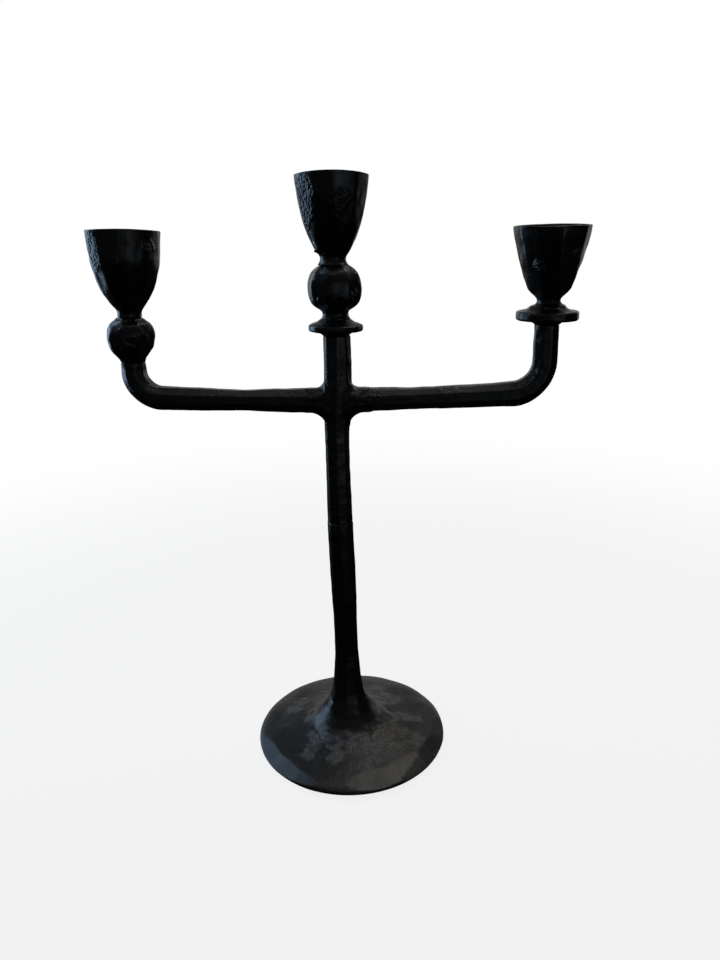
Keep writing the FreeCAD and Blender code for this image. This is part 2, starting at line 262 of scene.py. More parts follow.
def finishPiece(name, mesh, points, material, node, crease=38):
    movePoints(mesh, points)
    mesh.name = name
    mesh.polygons.foreach_set("use_smooth", [True] * len(mesh.polygons))
    mesh.set_sharp_from_angle(angle=math.radians(crease))
    store(mesh, "wear", wearOf(mesh, points))
    piece = bpy.data.objects.new(name, mesh)
    scene.collection.objects.link(piece)
    mesh.materials.append(material)
    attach(piece, "root")
    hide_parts(node)
    print(f"{name}: {len(mesh.polygons)} faces")
    return piece


def settle(points, place, lean=(0, 0)):
    # leans a piece about its seat, in degrees to the right and to the back, and puts it in its place
    turn = Matrix.Rotation(math.radians(lean[0]), 3, "Y") @ Matrix.Rotation(math.radians(-lean[1]), 3, "X")
    return points @ np.array(turn).T + np.array(place)


class Wire:
    # A socket of a material, with arithmetic
    def __init__(self, tree, socket=None):
        self.tree = tree
        self.socket = socket

    def add(self, kind, settings=None, sockets=None, out=0):
        node = self.tree.nodes.new(kind)
        for key, value in (settings or {}).items():
            if key == "stops":
                ramp = node.color_ramp
                while len(ramp.elements) < len(value):
                    ramp.elements.new(0.5)
                for element, (position, color) in zip(ramp.elements, value):
                    element.position = position
                    element.color = color
            else:
                setattr(node, key, value)
        for key, value in (sockets or {}).items():
            if isinstance(value, Wire):
                self.tree.links.new(value.socket, node.inputs[key])
            else:
                node.inputs[key].default_value = value
        return Wire(self.tree, node.outputs[out] if node.outputs else None)

    def maths(self, operation, *values):
        return self.add("ShaderNodeMath", {"operation": operation}, dict(enumerate(values)))

    def __add__(self, other):
        return self.maths("ADD", self, other)

    def __radd__(self, other):
        return self.maths("ADD", other, self)

    def __sub__(self, other):
        return self.maths("SUBTRACT", self, other)

    def __rsub__(self, other):
        return self.maths("SUBTRACT", other, self)

    def __mul__(self, other):
        return self.maths("MULTIPLY", self, other)

    def __rmul__(self, other):
        return self.maths("MULTIPLY", other, self)

    def clamped(self, low=0.0, high=1.0):
        return self.add("ShaderNodeClamp", None, {"Value": self, "Min": low, "Max": high})

    def rise(self, low, high):
        # 0 below low, 1 above high, smooth between
        return self.add("ShaderNodeMapRange", {"interpolation_type": "SMOOTHSTEP"},
                        {"Value": self, "From Min": low, "From Max": high})

    def between(self, color, other):
        # the first colour where this is 0, the other where it is 1
        return self.add("ShaderNodeMix", {"data_type": "RGBA"}, {0: self, 6: color, 7: other}, out=2)


def startMaterial(name):
    material = bpy.data.materials.new(name)
    material.use_nodes = True
    material.node_tree.nodes.clear()
    return material, Wire(material.node_tree)


def closeMaterial(wire, sockets):
    shader = wire.add("ShaderNodeBsdfPrincipled", None, sockets)
    wire.add("ShaderNodeOutputMaterial", None, {"Surface": shader})


def ironPaint(name, look):
    # satin black paint on cast iron
    material, wire = startMaterial(name)
    place = wire.add("ShaderNodeTexCoord", out=3)

    def cloud(size, detail=2.0, rough=0.5, at=place):
        return wire.add("ShaderNodeTexNoise", None,
                        {"Vector": at, "Scale": 1 / (size * mm), "Detail": detail, "Roughness": rough})

    def cells(size):
        return wire.add("ShaderNodeTexVoronoi", {"feature": "SMOOTH_F1"},
                        {"Vector": place, "Scale": 1 / (size * mm), "Smoothness": 0.6, "Randomness": 1.0})

    grain, wear, bare = (wire.add("ShaderNodeAttribute", {"attribute_name": stored}, out=2)
                         for stored in ("grain", "wear", "bare"))
    mottle = cloud(look["mottleSize"], 3.0, 0.6).rise(0.42, 0.62)
    fine = cloud(0.8, 3.0, 0.6)
    broad = cloud(3.6, 2.0)
    pebbles = 1.0 - cells(look["pebbleSize"])
    crumbs = 1.0 - cells(look["pebbleSize"] * 0.5)
    rubbed = (wear * cloud(3.0, 3.0).rise(0.38, 0.6)).clamped()
    crumbly = cloud(1.3, 3.0, 0.7).rise(0.36, 0.62) * 0.75 + 0.25
    dusty = (grain * look["grainDust"] * crumbly + mottle * look["mottle"]).clamped()
    color = dusty.between(look["color"], look["dust"])
    color = (rubbed * look["rubbed"]).between(color, look["rub"])
    color = bare.rise(0.1, 0.4).between(color, look["bare"])
    if "streak" in look:
        # fine pale lines that fan out from the axis
        level = wire.add("ShaderNodeVectorMath", {"operation": "MULTIPLY"}, {0: place, 1: (1, 1, 0)})
        away = wire.add("ShaderNodeVectorMath", {"operation": "LENGTH"}, {0: level}, out=1)
        ray = wire.add("ShaderNodeVectorMath", {"operation": "NORMALIZE"}, {0: level})
        fan = wire.add("ShaderNodeVectorMath", {"operation": "SCALE"}, {0: ray, 3: 0.055})
        rings = wire.add("ShaderNodeCombineXYZ", None, {"Z": away * 0.12})
        fan = wire.add("ShaderNodeVectorMath", {"operation": "ADD"}, {0: fan, 1: rings})
        streaks = cloud(0.8, 2.0, 0.6, fan).rise(0.46, 0.72) * away.rise(0.026, 0.046) * mottle
        color = (streaks * look["streak"]).clamped().between(color, look["dust"])
    roughness = (look["rough"] + grain * look["grainRough"] + mottle * 0.04
                 + (fine - 0.5) * 0.14 - rubbed * 0.08).clamped(0.16, 0.9)
    height = ((pebbles + crumbs * 0.35) * (grain * look["pebbles"] + look["allOver"])
              + fine * look["fine"] + broad * look["broad"])
    bump = wire.add("ShaderNodeBump", None, {"Height": height, "Distance": 1.0 * mm, "Strength": 1.0})
    closeMaterial(wire, {"Base Color": color, "Roughness": roughness, "Normal": bump, "IOR": 1.5})
    return material


def zincPlate(name):
    material, wire = startMaterial(name)
    place = wire.add("ShaderNodeTexCoord", out=3)
    blotch = wire.add("ShaderNodeTexNoise", None, {"Vector": place, "Scale": 260.0, "Detail": 4.0})
    fine = wire.add("ShaderNodeTexNoise", None, {"Vector": place, "Scale": 2600.0, "Detail": 2.0})
    color = blotch.rise(0.35, 0.7).between((0.36, 0.37, 0.38, 1), (0.2, 0.2, 0.19, 1))
    bump = wire.add("ShaderNodeBump", None, {"Height": fine + blotch, "Distance": 0.05 * mm, "Strength": 0.6})
    closeMaterial(wire, {"Base Color": color, "Roughness": 0.32 + blotch * 0.25, "Normal": bump,
                         "Metallic": 1.0})
    return material


def pressedFelt(name):
    material, wire = startMaterial(name)
    place = wire.add("ShaderNodeTexCoord", out=3)
    fibres = wire.add("ShaderNodeTexNoise", None,
                      {"Vector": place, "Scale": 1500.0, "Detail": 5.0, "Roughness": 0.7, "Distortion": 2.0})
    clumps = wire.add("ShaderNodeTexNoise", None, {"Vector": place, "Scale": 130.0, "Detail": 3.0})
    tufts = (fibres * 0.7 + clumps * 0.4).rise(0.35, 0.8)
    color = tufts.between((0.008, 0.008, 0.009, 1), (0.035, 0.035, 0.038, 1))
    bump = wire.add("ShaderNodeBump", None,
                    {"Height": fibres + clumps * 0.5, "Distance": 0.3 * mm, "Strength": 1.0})
    closeMaterial(wire, {"Base Color": color, "Roughness": 0.95, "Normal": bump, "Sheen Weight": 0.35,
                         "Sheen Roughness": 0.5})
    return material


paintLook = {
    "color": (0.0032, 0.0031, 0.0031, 1), "dust": (0.0075, 0.0074, 0.0073, 1),
    "rub": (0.03, 0.028, 0.025, 1), "bare": (0.9, 0.89, 0.86, 1),
    "mottleSize": 9, "mottle": 0.3, "rough": 0.28, "grainDust": 0.8, "grainRough": 0.03, "rubbed": 0.2,
    "pebbleSize": 1.15, "pebbles": 0.24, "allOver": 0.015, "fine": 0.04, "broad": 0.10,
}
barPaint = ironPaint("barPaint", paintLook)
cupPaint = ironPaint("cupPaint", {
    **paintLook, "pebbleSize": 1.5, "pebbles": 0.62, "rough": 0.26, "fine": 0.025,
})
footPaint = ironPaint("footPaint", {
    **paintLook, "color": (0.0075, 0.0073, 0.0071, 1), "dust": (0.135, 0.132, 0.128, 1),
    "mottleSize": 16, "mottle": 0.03, "rough": 0.36, "grainDust": 0.75, "grainRough": 0.12,
    "pebbleSize": 1.6, "pebbles": 0.34, "rubbed": 0.3, "streak": 0.4,
})
zinc = zincPlate("zincPlate")
felt = pressedFelt("pressedFelt")
print("materials ready")


footLook = {
    "sides": 400, "radius": 63.33, "bottom": 0.82, "recessTop": 1.5, "pocketRadius": 10.0, "pocketTop": 11.0,
    "dome": [(16.6, 22.95), (18.3, 20.7), (20.9, 17.6), (24.6, 14.9), (29.5, 12.8), (36.0, 11.2), (44.0, 9.8),
             (52.0, 8.6), (56.4, 7.8), (59.9, 6.9), (62.0, 5.8), (63.1, 4.9)],
    "skin": {"shift": (0.3, 0.1, 0.2), "wave": 0.30, "waveSize": 17, "dent": 0.06, "dentSize": 6,
             "patchSize": 7, "patchBias": -0.5, "patchEdge": 1.0, "ragged": 0.8, "grain": 0.16,
             "grainSize": 1.6, "pits": 0.0},
    "rosettes": 46, "seed": 14,
    # the planed parts of the rim: angle from the front, mm out from the axis, tilt, and height
    "planed": [(-45, 56.2, 25, 7.25), (-31, 58.4, 25, 6.85), (-60, 57.2, 24, 6.95), (20, 49.5, 17, 9.0),
               (40, 49.0, 17, 9.05), (50, 53.8, 29, 8.25), (65, 53.2, 29, 8.35), (82, 55.0, 29, 8.05),
               (120, 57.6, 15, 7.45), (-125, 57.4, 16, 7.35), (168, 57.8, 14, 7.55)],
}


def makeFoot():
    radius = footLook["radius"]
    shift = middle("felt_pad").x
    recess = (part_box("felt_pad")[1].x - shift) / mm + 0.3
    dome, bottom, recessTop = footLook["dome"], footLook["bottom"], footLook["recessTop"]
    pocket, pocketTop, bossTop = footLook["pocketRadius"], footLook["pocketTop"], dome[0][1]
    mesh = turnBlank([
        (0.9, [(boltHole, bossTop), dome[0]]),
        (0.6, dome + [(radius, 4.0)]),
        (0.35, [(radius, 4.0), (radius - 0.35, 2.9), (radius - 1.35, 1.75), (radius - 3.0, bottom + 0.06)]),
        (0.8, [(radius - 3.0, bottom + 0.06), (recess, bottom)]),
        (0.5, [(recess, bottom), (recess, recessTop)]),
        (1.3, [(recess, recessTop), (pocket, recessTop)]),
        (0.9, [(pocket, recessTop), (pocket, pocketTop)]),
        (1.0, [(pocket, pocketTop), (boltHole, pocketTop)]),
        (1.0, [(boltHole, pocketTop), (boltHole, bossTop)]),
    ], footLook["sides"])
    points = readPoints(mesh)
    for angle, out, tilt, high in footLook["planed"]:
        tilt = math.radians(tilt)
        away = facing(angle) * math.sin(tilt) + Vector((0, 0, math.cos(tilt)))
        struck = strike(points, spot(angle, out, high), away, soft=0.12)
        rimOnly = fade(points[:, 2], 2.5 * mm, 3.5 * mm) * fade(outOfAxis(points), 36 * mm, 44 * mm)
        points = points + (struck - points) * rimOnly[:, None]
    draw = np.random.default_rng(footLook["seed"])
    patches = []
    for i in range(footLook["rosettes"]):
        angle = draw.uniform(-180, 180) if i % 3 else draw.uniform(-45, 75)
        out = draw.uniform(24, 47)
        patches.append((spot(angle, out, 17 - out * 0.18), draw.uniform(3.4, 6.6)))
    distance, level = outOfAxis(points) / mm, points[:, 2] / mm
    top = fade(level, 1.9, 3.4) * fade(distance, 11, 13) * (1 - fade(level, 21.8, 22.7))
    # the collar round the boss is lumpier
    collar = top * fade(distance, 18.5, 22) * (1 - fade(distance, 26, 33))
    points = castSkin(mesh, points, {**footLook["skin"], "patches": patches}, top)
    points[:, 2] += collar * (0.7 * lumps(points, 9, 21) + 0.3 * lumps(points, 4.5, 22)) * mm
    # the disc was cast a little off the boss
    slide = (1 - fade(points[:, 2] / mm, 9, 20)) * (distance > 12)
    points[:, 0] += shift * slide
    return finishPiece("domed_foot", mesh, points, footPaint, "foot")


def makeFelt():
    low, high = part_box("felt_pad")
    radius = (high.x - low.x) / 2 / mm
    thick = high.z / mm
    mesh = turnBlank([
        (1.1, [(0, 0.02), (radius - 0.4, 0.02)]),
        (0.25, [(radius - 0.4, 0.02), (radius - 0.08, 0.3), (radius - 0.02, 0.8),
                (radius - 0.15, thick - 0.03)]),
        (1.3, [(radius - 0.15, thick - 0.03), (0, thick - 0.03)]),
    ], 256)
    points = readPoints(mesh)
    points[:, 2] += np.where(points[:, 2] < 0.4 * mm, 0.14 * mm * np.clip(lumps(points, 2.3), 0, 1), 0)
    points = settle(points, (middle("felt_pad").x, 0, 0))
    piece = finishPiece("felt_disc", mesh, points, felt, "felt_pad", crease=60)
    return piece


stemLook = {
    "sides": 128,
    "tool": {"count": 8, "bite": flatShare, "jitter": 3, "wobble": 3.5, "wave": 26, "pitch": 15,
             "dish": 0.02, "uneven": 0.012, "soft": 0.06, "core": 4.6},
    "skin": {"shift": (0.7, 0.2, 0.9), "wave": 0.12, "waveSize": 9, "dent": 0.09, "dentSize": 4.2,
             "patchSize": 11, "patchBias": -0.35, "grain": 0.035, "grainSize": 1.1, "pits": 0.03},
    "lower": {"first": 20, "seed": 11, "span": (0.0235, 9, 0.012)},
    "upper": {"first": 23, "seed": 23, "spare": [(crossingZ, 0.013, 0.45)]},
    # how far the stem's middle stands to the right of the axis: height and shift in mm
    "bow": [(20, 0.3), (60, 0.3), (95, 0.0), (125, -0.45), (150, -1.0), (195, -1.25), (222, -1.1),
            (236, -0.2), (247, 0.5), (275, 0.55)],
}


def stemBow(z):
    heights, shifts = zip(*stemLook["bow"])
    return sum(np.interp(z / mm + d, heights, shifts) for d in (-9, -6, -3, 0, 3, 6, 9)) / 7 * mm


def outOf(halfWidth):
    # radius of the round blank whose flats come to this half width
    return halfWidth / flatShare


def makeStemPiece(name, mesh, tool, patches, pieceName):
    points = hammerSides(readPoints(mesh), {**stemLook["tool"], **tool})
    low, high = points[:, 2].min(), points[:, 2].max()
    share = (fade(outOfAxis(points), 5 * mm, 5.6 * mm) * fade(points[:, 2], low, low + 0.8 * mm)
             * (1 - fade(points[:, 2], high - 0.8 * mm, high)))
    points = castSkin(mesh, points, {**stemLook["skin"], "patches": patches}, share)
    points[:, 0] += stemBow(points[:, 2])
    return finishPiece(pieceName, mesh, points, barPaint, name)


def makeLowerStem():
    top = seamZ / mm
    low = bossZ / mm + 0.02
    mesh = turnBlank([
        (1.2, [(0, low + 20), (studHole, low + 20)]),
        (1.5, [(studHole, low + 20), (studHole, low)]),
        (0.8, [(studHole, low), (16.6, low)]),
        (0.45, [(16.6, low), (15.5, low + 1.6), (14.55, low + 3.6), (13.4, low + 6.4),
                (outOf(11.5), low + 8.6), (outOf(10.1), low + 14.5), (outOf(9.15), low + 22),
                (outOf(8.3), 54), (outOf(7.7), 63), (outOf(7.4), 73), (outOf(7.35), 90),
                (outOf(7.6), 104), (outOf(7.75), 128),
                (outOf(7.7), 145), (outOf(7.7), top - 2.2), (outOf(7.6), top - 0.5)]),
        (0.3, [(outOf(7.6), top - 0.5), (outOf(7.35), top)]),
        (0.8, [(outOf(7.35), top), (studHole, top)]),
        (1.5, [(studHole, top), (studHole, top - 21)]),
        (1.2, [(studHole, top - 21), (0, top - 21)]),
    ], stemLook["sides"])
    patches = [(Vector((-5, -6, seamZ / mm - 3)) * mm, 5), (Vector((5, -6, 60)) * mm, 4)]
    return makeStemPiece("lower_stem", mesh, stemLook["lower"], patches, "flared_lower_stem")


def makeUpperStem():
    low = seamZ / mm
    top = stemTopZ / mm
    mesh = turnBlank([
        (1.2, [(0, low + 21), (studHole, low + 21)]),
        (1.5, [(studHole, low + 21), (studHole, low)]),
        (0.8, [(studHole, low), (outOf(7.2), low)]),
        (0.3, [(outOf(7.2), low), (outOf(7.4), low + 0.35)]),
        (0.45, [(outOf(7.4), low + 0.35), (outOf(7.4), low + 4), (outOf(7.4), 170), (outOf(7.3), 182),
                (outOf(7.1), 194), (outOf(7.1), 208), (outOf(7.35), 220), (outOf(7.6), 230),
                (outOf(7.9), 243), (outOf(7.9), 254), (outOf(7.7), 264), (outOf(7.55), top - 0.5)]),
        (0.3, [(outOf(7.55), top - 0.5), (outOf(7.1), top)]),
        (0.8, [(outOf(7.1), top), (screwHole, top)]),
        (1.5, [(screwHole, top), (screwHole, top - 24)]),
        (1.2, [(screwHole, top - 24), (0, top - 24)]),
    ], stemLook["sides"])
    patches = [(Vector((-5.5, -5, 258)) * mm, 9), (Vector((0, -7, 236)) * mm, 9),
               (Vector((-4, -6, 247)) * mm, 6), (Vector((6, -4, 170)) * mm, 5)]
    return makeStemPiece("upper_stem", mesh, stemLook["upper"], patches, "upper_stem_bar")


armLook = {
    "sides": 128, "root": 3.0,
    "tool": {"count": 8, "first": 0, "bite": flatShare, "jitter": 3, "wobble": 3, "wave": 30, "pitch": 17,
             "dish": 0.024, "uneven": 0.012, "soft": 0.06, "core": 4.6},
    "skin": {"wave": 0.14, "waveSize": 9, "dent": 0.1, "dentSize": 4.5, "patchSize": 10,
             "patchBias": -0.35, "grain": 0.04, "grainSize": 1.1, "pits": 0.03},
    # halves are half widths in mm, from the stem to the elbow; nudge sets the upright off its axis
    "left": {"side": -1, "reach": -leftX / mm, "top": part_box("left_arm")[1].z / mm, "bend": 16.0,
             "slope": 3.0, "halves": [7.2, 7.1, 6.95, 6.6, 6.05, 6.25, 6.6, 6.65, 6.9], "tip": 6.95,
             "seed": 31, "nudge": -1.3},
    "right": {"side": 1, "reach": rightX / mm, "top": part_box("right_arm")[1].z / mm, "bend": 19.5,
              "slope": 2.7, "halves": [7.2, 7.05, 6.8, 6.4, 6.35, 6.6, 6.65, 6.8, 7.3], "tip": 6.8,
              "seed": 47, "nudge": 0.5},
}


def armPath(size):
    # in mm: the lengths of the run, the elbow and the upright, the rise of the run, and the height
    # of the elbow's centre
    slope = math.radians(size["slope"])
    run = size["reach"] - size["bend"] * (1 - math.sin(slope)) - armLook["root"]
    rise = math.tan(slope) * run / 2
    elbow = size["bend"] * (math.pi / 2 - slope)
    bendTop = crossingZ / mm + rise + size["bend"] * math.cos(slope)
    return run, rise, elbow, size["top"] - bendTop, bendTop


def bendArm(points, size, straightBore):
    # a straight bar along Z, with its root at 0, goes along the arm's line
    run, rise, elbow, upright, bendTop = armPath(size)
    slope = math.radians(size["slope"])
    x, y, s = (points / mm).T
    onRun = np.clip(s, None, run)
    t = np.clip(onRun / run, 0, None)
    inBend = s > run
    turned = np.clip((s - run) / size["bend"], 0, math.pi / 2 - slope)
    angle = np.where(inBend, slope + turned, np.arctan(t * math.tan(slope)))
    centreX = np.where(inBend, size["reach"] - size["bend"] * (1 - np.sin(angle)), armLook["root"] + onRun)
    centreZ = np.where(inBend, bendTop - size["bend"] * np.cos(angle), crossingZ / mm + rise * t ** 2)
    centreZ = centreZ + np.clip(s - run - elbow, 0, None)
    # x of the straight bar points up on the run, and back towards the stem on the upright
    placeX = centreX - x * np.sin(angle) - size["nudge"] * fade(s, run * 0.9, run + elbow)
    placeZ = centreZ + x * np.cos(angle)
    length = run + elbow + upright
    bore = (np.hypot(x, y) < straightBore) & (s > length - 20)
    placeX = np.where(bore, size["reach"] - x, placeX)
    placeZ = np.where(bore, size["top"] - (length - s), placeZ)
    return np.column_stack((placeX, y, placeZ)) * mm


def mirrored(mesh, points, side):
    if side > 0:
        return points
    mesh.flip_normals()
    return points * np.array((-1, 1, 1))


def makeArm(name, size, pieceName):
    run, _, elbow, upright, _ = armPath(size)
    length = run + elbow + upright
    halves, tip = size["halves"], size["tip"]
    tenon = 4.5
    body = [(outOf(half), 2.0 + (run - 2.0) * i / (len(halves) - 1)) for i, half in enumerate(halves)]
    body += [(outOf((halves[-1] + tip) / 2), run + elbow * 0.6), (outOf(tip), length - 7),
             (tip + 0.15, length - 0.4)]
    mesh = turnBlank([
        (1.5, [(0, -1.8), (tenon, -1.8)]),
        (1.2, [(tenon, -1.8), (tenon, 2.0)]),
        (0.8, [(tenon, 2.0), body[0]]),
        (0.45, body),
        (0.3, [body[-1], (tip - 0.05, length)]),
        (0.8, [(tip - 0.05, length), (screwHole, length)]),
        (1.5, [(screwHole, length), (screwHole, length - 17)]),
        (1.2, [(screwHole, length - 17), (0, length - 17)]),
    ], armLook["sides"])
    points = hammerSides(readPoints(mesh), {**armLook["tool"], "seed": size["seed"],
                                            "span": (-1, length * mm, 0.005)})
    share = (fade(outOfAxis(points), 5 * mm, 5.6 * mm)
             * (1 - fade(points[:, 2], (length - 0.8) * mm, length * mm)))
    patches = [(Vector((3, -6, run + elbow * 0.5)) * mm, 9), (Vector((6, -3, 18)) * mm, 9),
               (Vector((5, -4, run * 0.62)) * mm, 6)]
    skin = {**armLook["skin"], "shift": (0.1, 0.6, 0.01 * size["seed"]), "patches": patches}
    points = castSkin(mesh, points, skin, share)
    points = bendArm(points, size, 4.0)
    # the bend takes Z to X and X to Z, which mirrors the bar
    mesh.flip_normals()
    points = mirrored(mesh, points, size["side"])
    return finishPiece(pieceName, mesh, points, barPaint, name)


weldLook = {
    "sides": 128, "reach": 21.0, "half": 7.45, "face": 7.1,
    "left": {"side": -1, "up": 6.5, "down": 9.5, "seed": 61},
    "right": {"side": 1, "up": 7.0, "down": 8.5, "seed": 71},
    "skin": {"shift": (0.5, 0.5, 0.1), "wave": 0.25, "waveSize": 6, "dent": 0.16, "dentSize": 3.2,
             "patchSize": 9, "patchBias": 0.1, "grain": 0.06, "grainSize": 1.1, "pits": 0.05},
}


def makeWeld(name, size, pieceName):
    # a flared collar of weld metal, from inside the stem out along the root of the arm
    reach, half, face = weldLook["reach"], weldLook["half"], weldLook["face"]
    mesh = turnBlank([
        (0.8, [(0, 1.5), (outOf(half - 0.5), 1.5)]),
        (0.3, [(outOf(half - 0.5), 1.5), (outOf(half), 2.5), (outOf(half), 8.0), (outOf(half), 14.0),
               (outOf(half - 0.05), 17.0), (outOf(half - 0.45), reach)]),
        (0.8, [(outOf(half - 0.45), reach), (0, reach)]),
    ], weldLook["sides"])
    points = hammerSides(readPoints(mesh), {**armLook["tool"], "seed": size["seed"], "core": 2,
                                            "dish": 0.01, "soft": 0.1})
    x, y, s = (points / mm).T
    for up, leg in ((x > 0, size["up"]), (x <= 0, size["down"])):
        along = np.clip((s - face) / leg, 0, 1)
        rise = leg * (1 - np.sqrt(np.clip(1 - (1 - along) ** 2, 0, 1)))
        x = np.where(up, x * (1 + rise / half), x)
    points = np.column_stack((x, y, s)) * mm
    share = 1 - fade(points[:, 2], (reach - 2) * mm, (reach - 0.5) * mm)
    share = fade(points[:, 2], 2 * mm, 3 * mm) * share
    points = castSkin(mesh, points, weldLook["skin"], share)
    centre = stemBow(np.array([crossingZ]))[0] * size["side"]
    points = np.column_stack((points[:, 2] + centre, points[:, 1], points[:, 0] + crossingZ))
    # the turned blank lies along X now, which mirrors it
    mesh.flip_normals()
    points = mirrored(mesh, points, size["side"])
    return finishPiece(pieceName, mesh, points, barPaint, name, crease=50)


discLook = {
    "sides": 200,
    "skin": {"shift": (0.2, 0.8, 0.3), "wave": 0.16, "waveSize": 7, "dent": 0.08, "dentSize": 3.4,
             "patchSize": 7, "patchBias": -0.1, "grain": 0.05, "grainSize": 1.2, "pits": 0.08},
    "tool": {"count": 11, "first": 8, "bite": 0.985, "jitter": 6, "wobble": 0, "wave": 30, "pitch": 30,
             "dish": 0.004, "uneven": 0.006, "soft": 0.06, "core": 10},
    "center": {"x": 0.0, "radius": 16.0, "seat": 8.0, "neck": 8.5, "cone": 2.6, "seed": 3, "lean": (1.2, 0)},
    "right": {"x": rightX - 0.5 * mm, "radius": 17.8, "seat": 7.4, "neck": 9.4, "cone": 2.2, "seed": 5,
              "lean": (0.4, 0)},
}


def skinShare(points, core, high):
    # none on the bore and the two seats
    z = points[:, 2] / mm
    share = fade(outOfAxis(points) / mm, core - 0.5, core)
    return share * fade(z, 0.1, 0.6) * (1 - fade(z, high - 0.6, high - 0.1))


def makeDisc(name, size, pieceName):
    radius, seatRadius, neckRadius, cone = (size[key] for key in ("radius", "seat", "neck", "cone"))
    high = (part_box(name)[1].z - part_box(name)[0].z) / mm
    edgeLow, edgeHigh = 3.0, high - 3.3
    mesh = turnBlank([
        (0.7, [(clearHole, 0), (seatRadius - 0.5, 0)]),
        (0.4, [(seatRadius - 0.5, 0), (seatRadius + 0.1, 0.5), (seatRadius + 1.6, 1.5),
               (seatRadius + 4.2, 2.2), (radius - 1.1, edgeLow - 0.5), (radius - 0.2, edgeLow + 0.2),
               (radius, edgeLow + 1.0), (radius, edgeHigh - 0.6),
               (radius - 0.35, edgeHigh + 0.05), (radius - 1.3, edgeHigh + 0.45),
               (neckRadius + cone * 1.9, edgeHigh + 1.0), (neckRadius + cone, edgeHigh + 1.75),
               (neckRadius + cone * 0.45, high - 0.7), (neckRadius + 0.3, high)]),
        (0.7, [(neckRadius + 0.3, high), (clearHole, high)]),
        (0.9, [(clearHole, high), (clearHole, 0)]),
    ], discLook["sides"])
    points = hammerSides(readPoints(mesh), {**discLook["tool"], "seed": size["seed"]})
    points = castSkin(mesh, points, discLook["skin"], skinShare(points, 7.2, high))
    points = settle(points, (size["x"], 0, seat(name)), size["lean"])
    return finishPiece(pieceName, mesh, points, barPaint, name)


knopLook = {
    "sides": 220,
    "skin": {"shift": (0.9, 0.3, 0.3), "wave": 0.2, "waveSize": 7, "dent": 0.12, "dentSize": 3.6,
             "patchSize": 6, "patchBias": -0.3, "grain": 0.04, "grainSize": 1.1, "pits": 0.0, "flute": 0.12},
    "centerTool": {"count": 8, "first": 14, "bite": 0.955, "jitter": 5, "wobble": 2, "wave": 9, "pitch": 17,
                   "dish": 0.028, "uneven": 0.012, "soft": 0.02, "core": 7.6, "seed": 5},
    "leftTool": {"count": 7, "first": -24, "bite": 0.94, "jitter": 7, "wobble": 5, "wave": 8, "pitch": 15,
                 "dish": 0.05, "uneven": 0.025, "soft": 0.018, "core": 7.2, "seed": 9},
    # blows on the left knop: angle from the front, mm out, height, upward tip of the face, bow and softness
    "blows": [(-54, 13.0, 17.5, 0.25, 0.3, 0.6), (-92, 13.9, 14, 0.05, 0.0, 0.5),
              (44, 12.4, 11.0, -0.35, 0.0, 0.4), (-38, 12.6, 8.5, -0.45, 0.0, 0.4)],
}


def makeCenterKnop():
    mesh = turnBlank([
        (0.7, [(clearHole, 0), (8.7, 0)]),
        (0.4, [(8.7, 0), (8.65, 0.5), (7.9, 1.3), (7.5, 2.6), (7.7, 4.1), (8.8, 5.1), (11.7, 6.9),
               (14.0, 9.2), (15.3, 12.0), (15.85, 15.6), (15.8, 19.3), (15.2, 22.4), (14.0, 25.2),
               (12.3, 27.2), (10.4, 28.7), (9.0, 29.5)]),
        (0.4, [(9.0, 29.5), (8.6, 29.85)]),
        (0.7, [(8.6, 29.85), (clearHole, 29.85)]),
        (1.0, [(clearHole, 29.85), (clearHole, 0)]),
    ], knopLook["sides"])
    points = hammerSides(readPoints(mesh), knopLook["centerTool"])
    points = castSkin(mesh, points, knopLook["skin"], skinShare(points, 7.6, 29.8))
    points = settle(points, (0.3 * mm, 0, seat("center_knop")))
    return finishPiece("center_ball_knop", mesh, points, cupPaint, "center_knop")


def makeLeftKnop():
    mesh = turnBlank([
        (0.7, [(clearHole, 0), (6.75, 0)]),
        (0.4, [(6.75, 0), (6.95, 0.5), (7.9, 2.6), (10.2, 5.4), (12.2, 8.6), (13.6, 12.6), (14.15, 16.6),
               (13.6, 19.6), (12.0, 22.3), (9.3, 24.4), (7.0, 26.0)]),
        (0.4, [(7.0, 26.0), (6.7, 26.25)]),
        (0.7, [(6.7, 26.25), (clearHole, 26.25)]),
        (1.0, [(clearHole, 26.25), (clearHole, 0)]),
    ], knopLook["sides"])
    points = hammerSides(readPoints(mesh), knopLook["leftTool"])
    bore = outOfAxis(points) < 4 * mm
    struck = points
    for angle, out, level, tip, bow, soft in knopLook["blows"]:
        struck = strike(struck, spot(angle, out, level), facing(angle) + Vector((0, 0, tip)), bow, soft)
    # the groove between the two lobes at the front
    around = np.arctan2(points[:, 0], -points[:, 1])
    turn = np.degrees((around - math.radians(4) + math.pi) % math.tau - math.pi)
    z = points[:, 2] / mm
    groove = np.exp(-(turn / (4 + 0.9 * np.clip(z - 12, 0, 14))) ** 2) * fade(z, 11, 20)
    shrink = 1 - 0.09 * groove * fade(outOfAxis(points), 7.5 * mm, 10 * mm)
    struck = struck * np.column_stack((shrink, shrink, np.ones(len(z))))
    points = np.where(bore[:, None], points, struck)
    points = castSkin(mesh, points, {**knopLook["skin"], "shift": (0.2, 0.2, 0.7), "wave": 0.3, "dent": 0.2},
                      skinShare(points, 7.3, 26.2))
    points = settle(points, (leftX - 0.95 * mm, 0, seat("left_knop")))
    return finishPiece("left_dented_knop", mesh, points, cupPaint, "left_knop")


